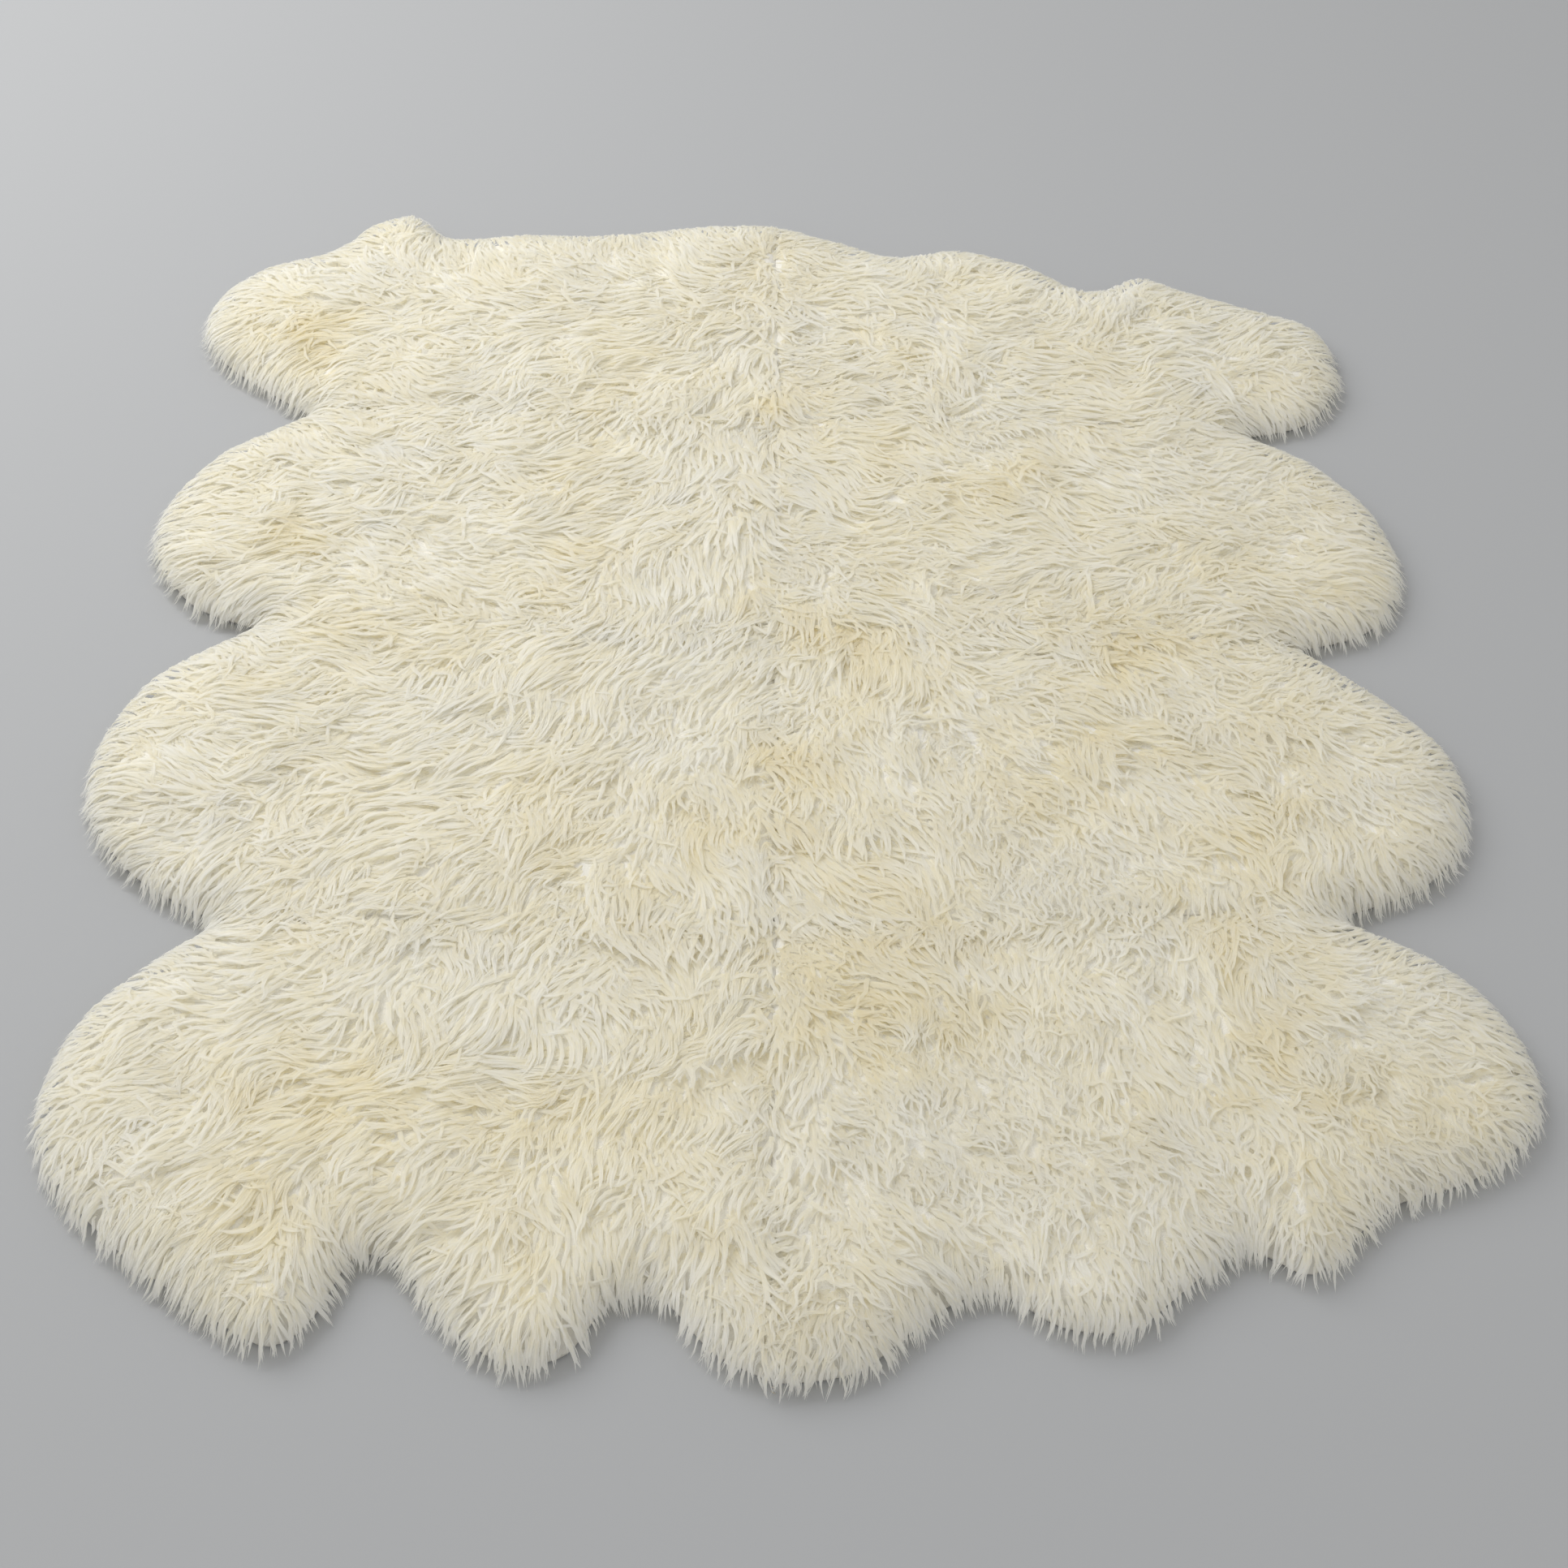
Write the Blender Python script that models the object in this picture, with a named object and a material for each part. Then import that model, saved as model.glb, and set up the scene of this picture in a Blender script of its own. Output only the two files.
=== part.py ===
"""A large sheepskin rug: eight whole pelts, wool side up, sewn edge to edge and lying flat on the floor.

The pelts lie in four rows and two columns. They meet nose to nose on a seam down the middle, and side by
side on three row seams. Each pelt is one solid that reaches as far as its wool: flat under the hide, and on
top the soft height of the pile, which rounds down to the free edge and dips a little along the seams.

Metres, +Z up, +Y towards the far row. The origin is on the floor, in the middle of the rug.
"""

import math

import bmesh
import bpy
from mathutils import Matrix, Vector, noise
from mathutils.geometry import intersect_point_line

# Driving sizes of the pile.
PILE_HEIGHT = 0.056  # floor to the tips of the wool, away from the edges
RIM_HEIGHT = 0.018  # where the drooping wool ends at the free edge
ROUND_WIDTH = 0.100  # from the free edge to where the pile has its full height
SEAM_DIP = 0.008  # the wool parts a little over a seam
SEAM_DIP_WIDTH = 0.035
SWELL = 0.005  # slow unevenness of the pile
SWELL_LENGTH = 0.210
SEAM_GAP = 0.0003  # between neighbouring pelts

# How finely the soft shapes are faceted.
OUTLINE_STEP = 0.032
GRID_STEP = 0.031
CREASE_ANGLE = math.radians(50)

WOOL_COLOUR = (0.86, 0.80, 0.66, 1.0)
WOOL_ROUGHNESS = 0.9

# The ends of the middle seam.
MIDDLE_X = 0.0
NEAR_END_Y = -1.072
FAR_END_Y = 1.042

# The row seams, from near to far. Each runs from its left notch over the middle seam to its right notch.
ROW_SEAMS = (
    # left_x, left_y, middle_y, right_x, right_y
    (-0.736, -0.436, -0.445, 0.744, -0.430),
    (-0.763, 0.090, 0.080, 0.760, 0.046),
    (-0.744, 0.552, 0.535, 0.744, 0.506),
)

# The free edge of each pelt, as the points (x, y) that it curves through between its corners. The points
# run from the near corner to the far one. On the near row they start at the middle seam and go round the
# shanks and the lobe, and on the far row they end at the middle seam.
FREE_EDGES = {
    "pelt_near_left": (
        (-0.080, -1.030), (-0.135, -0.968), (-0.185, -0.970), (-0.222, -1.032), (-0.300, -1.050),
        (-0.375, -1.005), (-0.435, -0.932), (-0.485, -0.912), (-0.512, -0.975), (-0.570, -1.030),
        (-0.670, -0.980), (-0.800, -0.888), (-0.885, -0.790), (-0.905, -0.680), (-0.860, -0.555),
    ),
    "pelt_near_right": (
        (0.100, -1.058), (0.185, -0.992), (0.255, -0.960), (0.325, -1.003), (0.415, -1.008),
        (0.480, -0.960), (0.560, -0.906), (0.620, -0.944), (0.680, -0.905), (0.740, -0.850),
        (0.845, -0.815), (0.925, -0.755), (0.948, -0.665), (0.915, -0.560), (0.845, -0.488),
    ),
    "pelt_mid_near_left": (
        (-0.865, -0.358), (-0.935, -0.260), (-0.946, -0.140), (-0.890, -0.005),
    ),
    "pelt_mid_near_right": (
        (0.885, -0.368), (0.945, -0.262), (0.932, -0.140), (0.855, -0.040),
    ),
    "pelt_mid_far_left": (
        (-0.875, 0.142), (-0.938, 0.245), (-0.932, 0.365), (-0.855, 0.478),
    ),
    "pelt_mid_far_right": (
        (0.880, 0.088), (0.935, 0.195), (0.910, 0.335), (0.840, 0.440),
    ),
    "pelt_far_left": (
        (-0.835, 0.620), (-0.930, 0.710), (-0.946, 0.825), (-0.875, 0.925), (-0.760, 0.978),
        (-0.705, 1.050), (-0.625, 1.076), (-0.565, 1.012), (-0.450, 1.018), (-0.290, 1.020),
        (-0.140, 1.040),
    ),
    "pelt_far_right": (
        (0.858, 0.540), (0.915, 0.635), (0.892, 0.765), (0.790, 0.815), (0.690, 0.862),
        (0.612, 0.905), (0.525, 0.862), (0.430, 0.930), (0.310, 0.975), (0.195, 0.958),
        (0.115, 0.995),
    ),
}
ROW_NAMES = ("near", "mid_near", "mid_far", "far")
SIDES = {"left": -1, "right": 1}


def start_scene():
    """Removes every object and returns a new collection for the rug."""
    for existing in list(bpy.data.objects):
        bpy.data.objects.remove(existing)
    rug = bpy.data.collections.new("sheepskin_rug")
    bpy.context.scene.collection.children.link(rug)
    return rug


def wool_material():
    wool = bpy.data.materials.new("wool")
    wool.use_nodes = True
    shader = wool.node_tree.nodes["Principled BSDF"]
    shader.inputs["Base Color"].default_value = WOOL_COLOUR
    shader.inputs["Roughness"].default_value = WOOL_ROUGHNESS
    shader.inputs["Metallic"].default_value = 0.0
    wool.diffuse_color = WOOL_COLOUR
    return wool


def curve_point(before, start, end, after, share):
    """The point at that share of the way from start to end, on a Catmull-Rom curve."""
    pull_out = (end - before) / 2
    pull_in = (after - start) / 2
    square, cube = share**2, share**3
    return (
        (2 * cube - 3 * square + 1) * start
        + (cube - 2 * square + share) * pull_out
        + (3 * square - 2 * cube) * end
        + (cube - square) * pull_in
    )


def smooth_line(points):
    """Points about OUTLINE_STEP apart on a smooth curve from the first point to the last."""
    padded = [points[0], *points, points[-1]]
    line = []
    for before, start, end, after in zip(padded, padded[1:], padded[2:], padded[3:]):
        pieces = max(1, round((end - start).length / OUTLINE_STEP))
        line += [curve_point(before, start, end, after, i / pieces) for i in range(pieces)]
    return line + [points[-1]]


def seam_ends(row, side):
    """The ends of a row seam, at the middle and at the notch on that side."""
    left_x, left_y, middle_y, right_x, right_y = ROW_SEAMS[row]
    notch = Vector((left_x, left_y)) if side < 0 else Vector((right_x, right_y))
    return Vector((MIDDLE_X, middle_y)), notch


def pelt_corners(row, side):
    """(near end on the middle seam, near notch or None, far notch or None, far end on the middle seam)."""
    if row > 0:
        near_end, near_notch = seam_ends(row - 1, side)
    else:
        near_end, near_notch = Vector((MIDDLE_X, NEAR_END_Y)), None
    if row < len(ROW_SEAMS):
        far_end, far_notch = seam_ends(row, side)
    else:
        far_end, far_notch = Vector((MIDDLE_X, FAR_END_Y)), None
    return near_end, near_notch, far_notch, far_end


def pelt_lines(row, side, edge_points):
    """The pelt's free edge and its sewn edge, each as a line of points. They share their ends."""
    near_end, near_notch, far_notch, far_end = pelt_corners(row, side)
    free = smooth_line([near_notch or near_end, *map(Vector, edge_points), far_notch or far_end])
    sewn = [far_notch, far_end, near_end, near_notch]
    return free, [corner for corner in sewn if corner is not None]


def drawn_back(point, row, side):
    """The point, moved half a gap away from the seams that it lies on."""
    near_end, near_notch, far_notch, far_end = pelt_corners(row, side)
    moved = point.copy()
    if abs(point.x - MIDDLE_X) < SEAM_GAP:
        moved.x += side * SEAM_GAP / 2
    if near_notch and point in (near_end, near_notch):
        moved.y += SEAM_GAP / 2
    if far_notch and point in (far_end, far_notch):
        moved.y -= SEAM_GAP / 2
    return moved


def distance_to(point, line):
    """How far a point is from a line of points."""
    nearest = math.inf
    for start, end in zip(line, line[1:]):
        foot, share = intersect_point_line(point, start, end)
        foot = start if share < 0 else end if share > 1 else foot
        nearest = min(nearest, (point - foot.to_2d()).length)
    return nearest


def pile_top(point, free, sewn):
    """The height of the pile over a point of the plan."""
    inward = min(1.0, distance_to(point, free) / ROUND_WIDTH)
    rounded = math.sqrt(1 - (1 - inward) ** 2)
    dip = SEAM_DIP * math.exp(-((distance_to(point, sewn) / SEAM_DIP_WIDTH) ** 2))
    swell = SWELL * noise.noise(point.to_3d() / SWELL_LENGTH)
    return RIM_HEIGHT + (PILE_HEIGHT - RIM_HEIGHT + swell - dip) * rounded


def cut_in_squares(shape):
    """Cuts a flat shape along a square grid, so that its top can swell."""
    low = Vector(min(v.co[axis] for v in shape.verts) for axis in range(3))
    high = Vector(max(v.co[axis] for v in shape.verts) for axis in range(3))
    for axis, normal in ((0, (1, 0, 0)), (1, (0, 1, 0))):
        for i in range(1, math.ceil((high[axis] - low[axis]) / GRID_STEP)):
            place = low.copy()
            place[axis] += i * GRID_STEP
            bmesh.ops.bisect_plane(
                shape, geom=[*shape.verts, *shape.edges, *shape.faces], plane_co=place, plane_no=normal
            )


def add_pelt(name, row, side, edge_points, material, collection):
    """One pelt: its outline cut from a flat sheet, raised to the height of the wool."""
    free, sewn = pelt_lines(row, side, edge_points)
    outline = free[:-1] + sewn[:-1]
    if side < 0:
        outline.reverse()
    shape = bmesh.new()
    corners = [shape.verts.new(drawn_back(point, row, side).to_3d()) for point in outline]
    shape.faces.new(corners)
    cut_in_squares(shape)
    bmesh.ops.triangulate(shape, faces=shape.faces)
    top = list(shape.verts)
    under = bmesh.ops.extrude_face_region(shape, geom=shape.faces[:], use_keep_orig=True)
    for vertex in top:
        vertex.co.z = pile_top(vertex.co.to_2d(), free, sewn)
    for vertex in under["geom"]:
        if isinstance(vertex, bmesh.types.BMVert):
            vertex.co.z = 0.0
    flat = [face for face in under["geom"] if isinstance(face, bmesh.types.BMFace)]
    bmesh.ops.dissolve_faces(shape, faces=flat)
    bmesh.ops.recalc_face_normals(shape, faces=shape.faces)
    mesh = bpy.data.meshes.new(name)
    shape.to_mesh(mesh)
    shape.free()
    mesh.shade_smooth()
    mesh.set_sharp_from_angle(angle=CREASE_ANGLE)
    mesh.materials.append(material)
    pelt = bpy.data.objects.new(name, mesh)
    collection.objects.link(pelt)


def centre_on_origin(pelts):
    """Moves the whole rug so that the middle of its length and width is over the origin."""
    places = [vertex.co for pelt in pelts for vertex in pelt.data.vertices]
    middle_x = (min(p.x for p in places) + max(p.x for p in places)) / 2
    middle_y = (min(p.y for p in places) + max(p.y for p in places)) / 2
    for pelt in pelts:
        pelt.data.transform(Matrix.Translation((-middle_x, -middle_y, 0.0)))


def main():
    rug = start_scene()
    wool = wool_material()
    for row, row_name in enumerate(ROW_NAMES):
        for side_name, side in SIDES.items():
            name = f"pelt_{row_name}_{side_name}"
            add_pelt(name, row, side, FREE_EDGES[name], wool, rug)
    centre_on_origin(rug.objects)


main()
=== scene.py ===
"""The looks of the sheepskin rug: eight pelts with long ivory wool, sewn together, lying on a pale floor.

Each pelt is four pieces: its hide, the dense fleece that grows on it, the broad wavy locks that show, and
the thin wisps along them. One more piece is the stitches that sew the hides together. Everything is worked
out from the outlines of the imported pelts, in metres, +Z up, +Y towards the far row.
"""

import math
from collections import Counter

import bmesh
import bpy
import numpy as np
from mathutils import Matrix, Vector


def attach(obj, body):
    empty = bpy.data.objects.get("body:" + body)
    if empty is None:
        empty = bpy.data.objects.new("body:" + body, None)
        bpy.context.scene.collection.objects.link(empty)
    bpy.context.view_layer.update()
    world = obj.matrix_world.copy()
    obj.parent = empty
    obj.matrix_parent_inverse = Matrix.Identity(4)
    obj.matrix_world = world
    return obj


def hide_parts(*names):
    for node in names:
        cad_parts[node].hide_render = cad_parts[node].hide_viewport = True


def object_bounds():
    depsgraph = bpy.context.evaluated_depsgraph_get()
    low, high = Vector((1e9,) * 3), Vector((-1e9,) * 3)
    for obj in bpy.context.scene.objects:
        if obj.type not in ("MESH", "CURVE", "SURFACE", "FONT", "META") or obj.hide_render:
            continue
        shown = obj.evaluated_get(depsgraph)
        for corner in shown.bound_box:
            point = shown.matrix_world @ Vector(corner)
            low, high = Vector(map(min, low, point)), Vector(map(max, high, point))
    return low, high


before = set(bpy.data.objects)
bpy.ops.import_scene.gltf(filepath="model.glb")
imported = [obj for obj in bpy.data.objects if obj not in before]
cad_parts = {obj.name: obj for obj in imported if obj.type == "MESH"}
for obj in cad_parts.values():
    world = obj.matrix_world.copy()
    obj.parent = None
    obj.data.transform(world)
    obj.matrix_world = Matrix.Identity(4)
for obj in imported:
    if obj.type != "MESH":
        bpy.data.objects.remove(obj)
CAD_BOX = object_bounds()

SEED = 20

# The camera's place and angle, and its lens.
CAMERA_PLACE = (0.013, -2.044, 2.302)
CAMERA_TILT = math.radians(38.9)
LENS_MM = 48.97
SENSOR_MM = 36.0

# How the pile stands, in metres. Distances inward count from the outline of the wool.
PILE_TOP = CAD_BOX[1].z - 0.004
RIM_TOP = 0.016
ROUND_WIDTH = 0.100
OVERHANG_DROP = 0.60  # how fast the pile's top falls past the outline
SEAM_DIP = 0.002
SEAM_DIP_WIDTH = 0.018
SWELL = 0.006
SWELL_LENGTH = 0.17  # from one swell to the next
LUMP_LENGTH = 0.055
LUMP_SHARE = 0.4  # of the swell, in lumps
LOWEST_TOP = 0.004  # of the pile past the outline

# The hide and the fleece.
HIDE_INSET = 0.034
HIDE_UNDER = 0.0008
HIDE_THICKNESS = 0.0022
HIDE_STEP = 0.026
STITCH_STEP = 0.006
STITCH_LENGTH = 0.007
THREAD_WIDTH = 0.0014
THREAD_HEIGHT = 0.0005  # of its middle, just under the hides
THREAD_FLATNESS = 0.35
STITCH_SLANT = 0.3
FLEECE_INSET = 0.014
FLEECE_DEPTH = 0.0085  # under the top of the pile
FLEECE_STEP = 0.015
FLEECE_RIM = 0.004  # how thick it is at its edge
FLEECE_ROUND = 0.026  # from its edge to where it is full
FLEECE_ROUNDNESS = 0.6
FLEECE_HOLLOW = 0.6  # how far it follows the low parts of the clumps
FLEECE_CLEARANCE = 0.0002  # over the hide
SEAM_OVERLAP = 0.002  # of the fleece over a seam

# How the wool lies. Turns are in radians.
WIDE_TURN = 0.62
WIDE_TURN_LENGTH = 0.23
CLOSE_TURN = 0.40
CLOSE_TURN_LENGTH = 0.085
EDGE_PULL = 2.6  # how strongly the wool lies outward by the free edge
EDGE_PULL_WIDTH = 0.11
EDGE_CALM = 0.75  # how much less it turns there
EDGE_CALM_WIDTH = 0.09
ROOT_SCATTER = 0.42  # how far roots stray from even rows, as a share of their spacing

# The locks, each a broad ribbon with a few thin wisps along it.
LOCK_SPACING = 0.0126
LOCK_LENGTH = 0.062
LENGTH_FIELD = 0.16  # how much the length differs from place to place
LENGTH_SPREAD = 0.10  # and from lock to lock
LENGTH_FIELD_LENGTH = 0.09
CURL_SHORTENING = 0.25
LOCK_WIDTH = 0.0058
WIDTH_RANGE = (0.7, 1.25)
EDGE_WIDTH = 0.50  # how much of its width a lock has at the free edge
LOCK_CROWN = 0.0007  # how much higher the middle of a lock is than its sides
STRAIGHT_CROWN = 0.4  # the share of it that a straight lock has
CURLY_CROWN = 1.2  # more on a curly one
EDGE_CROWN = 0.3  # how much of it is left at the free edge
LOCK_POINTS = 5
LOCK_ROOT_INSET = 0.038
ROOT_INSET_RANGE = (0.75, 1.1)
LOCK_STRAY = 0.11
LOCK_ROLL = 0.08
STEEPEST_ROLL = 0.4
LOCK_LIFT = 0.0006
LOCK_DEPTH = 0.0030  # under the top of the pile
TIP_DROOP = 0.0022
SHORTEST_LOCK = 0.020
ROOT_DEPTH = 0.0035
ROOT_SHARE = 0.5  # along the lock, where it has come up out of the fleece
ROOT_CURVE = 1.5
LOWEST_WOOL = 0.0022
LOWEST_SIDE = 0.0008
TIP_ALLOWANCE = 0.006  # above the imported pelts
INLAND_WIDTH = 0.08  # from the free edge to where locks are broad and curly

# The waves of the locks.
CURL_FIELD_LENGTH = 0.14
CURL_LEVEL = 0.7
CURL_UNEVENNESS = 0.8
PHASE_FIELD = 2.4
PHASE_FIELD_LENGTH = 0.06
PHASE_SPREAD = 0.22
WAVES = 0.75  # along a straight lock
CURLY_WAVES = 0.50  # more along a curly one
SWING = 0.0026
CURLY_SWING = 0.0036
SWING_RISE = 2.2  # how soon along the lock the swing is full
RIPPLE = 0.2  # up and down, as a share of the swing

# How a ribbon narrows from its root to its tip.
TAPER_POWER = 1.6
ROOT_NARROWING = 0.8
LOCK_TAPER = 0.45
CURLY_TAPER = 0.35

# The thin wisps along the locks.
WISPS_A_LOCK = 2
WISP_START = 0.35  # along the lock
WISP_END = (0.8, 1.12)
WISP_WIDTH = 0.0013
WISP_WIDTH_RANGE = (0.6, 1.3)
WISP_ASIDE = 0.6  # how far to the side of the lock, as a share of its width
WISP_GATHER = 0.2  # how much closer to its middle they are at the tip
CURLY_GATHER = 0.5
WISP_LIFT = (0.0002, 0.0016)
WISP_ROLL = 0.20
STEEPEST_WISP_ROLL = 0.8
WISP_TAPER = 0.35
WISP_POINTS = 4

# The wool along the free edge, which is kept shorter.
FRINGE_SPACING = 0.0100
FRINGE_ROOTS = (0.014, 0.044)  # from the free edge
FRINGE_REACH = (-0.004, 0.015)  # past the outline

# The clumps that the wool falls into.
TUFT_SPACING = 0.066
TUFT_BEND = 0.018  # how uneven the borders between clumps are
TUFT_BEND_LENGTH = 0.05
TUFT_TURN = 0.34
TUFT_FAN = 0.75
TUFT_LIFT = 0.0012
TUFT_RISE = 0.0080  # how much higher the front of a clump is than its back
TUFT_REACH = 0.6  # from the middle of a clump to its front
TUFT_EDGE_WIDTH = 0.09  # from the free edge to where clumps are full
TUFT_EDGE_SHARE = 0.25
BARE_CELL = 0.018  # places where locks part are looked for in squares of this size
BARE_LIMIT = 0.85  # the share of the usual cover under which extra tufts grow
BARE_TUFTS = 6
BARE_LENGTH = (0.5, 0.75)  # of those locks, as a share of LOCK_LENGTH
BARE_STRAY = 0.7
SOFT_NORMAL = 0.88  # how far a blade is shaded as the pile around it is
ROUND_NORMAL = 0.10  # how round a lock looks

# A smooth map over the rug's plan, on which distances are kept.
MAP_STEP = 0.006
MAP_MARGIN = 0.14
LAST_CELL = 1.001  # keeps every place that is read within the map
FIELD_SPREAD = 1.4  # of a random field's knots, which are smoothed between
LEAST_SLOPE = 0.2  # under which a way is taken as short

FLOOR_TOLERANCE = 0.0001
SEAM_TOLERANCE = 0.002

# Which way the wool of each pelt lies, in degrees from +X, over its lobe and by the middle seam, and how
# creamy and how curly it is, from 0 to 1.
PELTS = {
    # name: (lobe lie, middle lie, cream, curl)
    "near_left": (-118, -92, 0.40, 0.35),
    "near_right": (-66, -86, 0.55, 0.75),
    "mid_near_left": (-158, -100, 0.22, 0.25),
    "mid_near_right": (-42, -84, 0.50, 0.80),
    "mid_far_left": (-170, -112, 0.25, 0.30),
    "mid_far_right": (-24, -70, 0.35, 0.50),
    "far_left": (180, -125, 0.28, 0.20),
    "far_right": (-14, -50, 0.15, 0.40),
}
TURN_WIDTH = 0.34  # from the middle seam to where the wool lies as over the lobe
SEAM_BLUR_PASSES = 60  # how softly the lie changes over a seam
OWN_LIE = 0.35  # the share of the lie that changes sharply at a seam

# Places where the wool is yellower.
CREAM_SPOTS = (
    # x, y, radius, strength
    (-0.03, 0.12, 0.035, 0.9),
    (0.00, -0.19, 0.040, 1.2),
    (-0.02, 0.54, 0.045, 0.7),
    (0.10, 0.02, 0.070, 0.7),
    (-0.11, -0.30, 0.060, 0.7),
    (0.19, 0.72, 0.070, 0.7),
    (0.36, 0.35, 0.045, 0.6),
    (0.52, 0.04, 0.050, 0.9),
    (0.58, -0.42, 0.080, 0.7),
    (0.43, -0.15, 0.080, 0.5),
    (0.13, -0.60, 0.090, 0.8),
    (0.60, -0.68, 0.100, 0.6),
    (-0.77, 0.72, 0.070, 0.8),
    (-0.70, 0.25, 0.060, 0.7),
    (-0.74, -0.09, 0.080, 0.5),
    (-0.52, -0.70, 0.090, 0.4),
    (-0.31, 0.20, 0.060, 0.5),
)


def random_stream(name):
    """A random generator of its own for each pelt and use, the same on each run."""
    return np.random.default_rng([SEED, *name.encode()])


# ---- the plan of the rug ----


def floor_edges(node):
    """The edges of a pelt's outline on the floor, as an array of pairs of points (x, y)."""
    place = np.array([vertex.co[:] for vertex in node.data.vertices])
    corners = {}
    weld = [corners.setdefault(tuple(np.round(p, 5)), len(corners)) for p in place]
    uses = Counter()
    for face in node.data.polygons:
        if max(place[i][2] for i in face.vertices) < FLOOR_TOLERANCE:
            ring = [weld[i] for i in face.vertices]
            uses.update(frozenset(pair) for pair in zip(ring, ring[1:] + ring[:1]))
    points = np.array(list(corners))[:, :2]
    return np.array([points[list(edge)] for edge, count in uses.items() if count == 1])


def distance_to(points, edges):
    """How far each point is from the nearest of some edges."""
    nearest = np.full(len(points), np.inf)
    for start, end in edges:
        along = end - start
        share = np.clip((points - start) @ along / (along @ along), 0, 1)
        gap = points - start - share[:, None] * along
        nearest = np.minimum(nearest, (gap**2).sum(1))
    return np.sqrt(nearest)


def inside(points, edges):
    """Which points lie within a closed outline."""
    crossings = np.zeros(len(points), int)
    for (ax, ay), (bx, by) in edges:
        spans = (ay > points[:, 1]) != (by > points[:, 1])
        rise = by - ay if by != ay else 1.0
        crossings += spans & (points[:, 0] < ax + (points[:, 1] - ay) * (bx - ax) / rise)
    return crossings % 2 == 1


class PlanMap:
    """A value at each point of a fine grid over the rug's plan, read between them smoothly."""

    def __init__(self, values):
        self.values = values

    def __call__(self, points):
        place = (points - MAP_LOW) / MAP_STEP
        limit = np.array(self.values.shape[:2]) - LAST_CELL
        place = np.clip(place, 0, limit)
        corner = place.astype(int)
        u, v = (place - corner).T
        if self.values.ndim == 3:
            u, v = u[:, None], v[:, None]
        i, j = corner.T
        low = self.values[i, j] * (1 - u) + self.values[i + 1, j] * u
        high = self.values[i, j + 1] * (1 - u) + self.values[i + 1, j + 1] * u
        return low * (1 - v) + high * v


class RandomField:
    """A smooth random value over the plan, from about -1 to 1, that changes over a given distance."""

    def __init__(self, random, distance):
        self.distance = distance
        count = np.ceil((MAP_HIGH - MAP_LOW) / distance).astype(int) + 3
        self.knots = random.uniform(-1, 1, count) * FIELD_SPREAD

    def __call__(self, points):
        place = (points - MAP_LOW) / self.distance
        place = np.clip(place, 0, np.array(self.knots.shape) - LAST_CELL)
        corner = place.astype(int)
        u, v = (place - corner).T
        u, v = u * u * (3 - 2 * u), v * v * (3 - 2 * v)
        i, j = corner.T
        low = self.knots[i, j] * (1 - u) + self.knots[i + 1, j] * u
        high = self.knots[i, j + 1] * (1 - u) + self.knots[i + 1, j + 1] * u
        return low * (1 - v) + high * v


def smoothed(values, passes):
    """A map's values, blurred a little."""
    for _ in range(passes):
        edge = np.pad(values, 1, mode="edge")
        values = (edge[:-2, 1:-1] + edge[2:, 1:-1] + edge[1:-1, :-2] + edge[1:-1, 2:]) / 4
    return values


NAMES = list(PELTS)
OUTLINES = {name: floor_edges(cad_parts["pelt_" + name]) for name in NAMES}


def is_seam(name):
    """For each edge of a pelt's outline, whether it is sewn to another pelt."""
    middles = OUTLINES[name].mean(1)
    others = np.concatenate([OUTLINES[other] for other in NAMES if other != name])
    return distance_to(middles, others) < SEAM_TOLERANCE


SEAMS = {name: OUTLINES[name][is_seam(name)] for name in NAMES}
FREE_EDGES = np.concatenate([OUTLINES[name][~is_seam(name)] for name in NAMES])
ALL_SEAMS = np.concatenate(list(SEAMS.values()))

MAP_LOW = np.array(CAD_BOX[0][:2]) - MAP_MARGIN
MAP_HIGH = np.array(CAD_BOX[1][:2]) + MAP_MARGIN


def map_points():
    """(the points of the plan that maps are worked out on, as a list, and the shape of their grid)."""
    x = np.arange(MAP_LOW[0], MAP_HIGH[0] + MAP_STEP, MAP_STEP)
    y = np.arange(MAP_LOW[1], MAP_HIGH[1] + MAP_STEP, MAP_STEP)
    grid = np.stack(np.meshgrid(x, y, indexing="ij"), -1)
    return grid.reshape(-1, 2), grid.shape[:2]


def rug_maps():
    """(distance inward from the free edge, the way outward, distance to a seam), as maps of the plan."""
    points, shape = map_points()
    within = np.zeros(len(points), bool)
    for name in NAMES:
        within |= inside(points, OUTLINES[name])
    to_seam = distance_to(points, ALL_SEAMS)
    within |= to_seam < MAP_STEP / 2
    inward = distance_to(points, FREE_EDGES) * np.where(within, 1, -1)
    inward = smoothed(inward.reshape(shape), 2)
    slope = np.stack(np.gradient(smoothed(inward, 6), MAP_STEP), -1)
    outward = -slope / np.maximum(np.linalg.norm(slope, axis=-1, keepdims=True), LEAST_SLOPE)
    return PlanMap(inward), PlanMap(outward), PlanMap(to_seam.reshape(shape))


INWARD, OUTWARD, TO_SEAM = rug_maps()
SWELL_FIELD = RandomField(random_stream("swell"), SWELL_LENGTH)
LUMP_FIELD = RandomField(random_stream("lump"), LUMP_LENGTH)


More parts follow.
